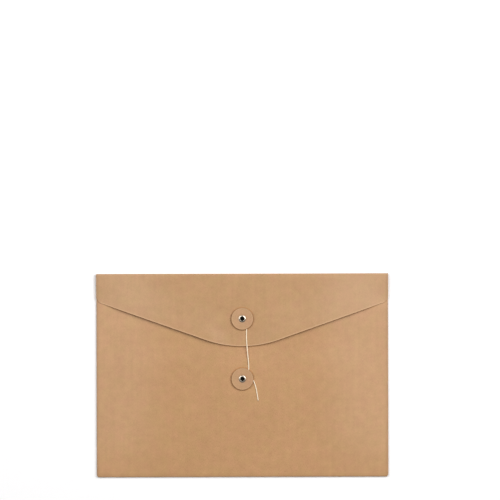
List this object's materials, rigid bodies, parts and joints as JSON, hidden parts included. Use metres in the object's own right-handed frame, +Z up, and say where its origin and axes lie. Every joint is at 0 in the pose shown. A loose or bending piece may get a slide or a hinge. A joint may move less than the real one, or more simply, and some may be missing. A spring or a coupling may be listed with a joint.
{
  "type": "document wallet",
  "caption": "Flat kraft card wallet for documents: a glued pocket under a sloping, round-tipped flap, closed by a string between two card buttons on eyelets.",
  "frame": {"origin": "centre of the wallet's rectangular footprint, on the surface that it lies on", "axes": "+X across the width, to the right as the flap side is read; +Y towards the flap's fold; +Z up, out of the flap side"},
  "size_m": [0.33, 0.23, 0.0067],
  "materials": {
    "kraft_card": "matte",
    "button_card": "matte",
    "eyelet_metal": "polished",
    "cotton_string": "matte",
    "glue": "satin"
  },
  "bodies": {
    "pocket": {"back_panel": "kraft_card", "front_panel": "kraft_card", "bottom_fold": "kraft_card", "left_side_fold": "kraft_card", "right_side_fold": "kraft_card", "left_glue_tab": "kraft_card", "right_glue_tab": "kraft_card", "left_glue_line": "glue", "right_glue_line": "glue", "top_fold": "kraft_card", "lower_eyelet": "eyelet_metal"},
    "flap": {"flap_panel": "kraft_card", "upper_eyelet": "eyelet_metal", "closing_string": "cotton_string"},
    "upper_disc": {"upper_button": "button_card"},
    "lower_disc": {"lower_button": "button_card"}
  },
  "joints": [
    {"name": "flap_hinge", "type": "hinge", "parent": "pocket", "child": "flap", "pos_m": [0, 0.11285, 0.00215], "axis": [-1, 0, 0], "range_deg": [0, 176.5], "deforming": ["top_fold", "closing_string"]},
    {"name": "upper_button_spin", "type": "hinge", "parent": "flap", "child": "upper_disc", "pos_m": [0, 0.064, 0.0059], "axis": [0, 0, 1], "continuous": true},
    {"name": "lower_button_spin", "type": "hinge", "parent": "pocket", "child": "lower_disc", "pos_m": [0, -0.004, 0.0046], "axis": [0, 0, 1], "continuous": true}
  ]
}
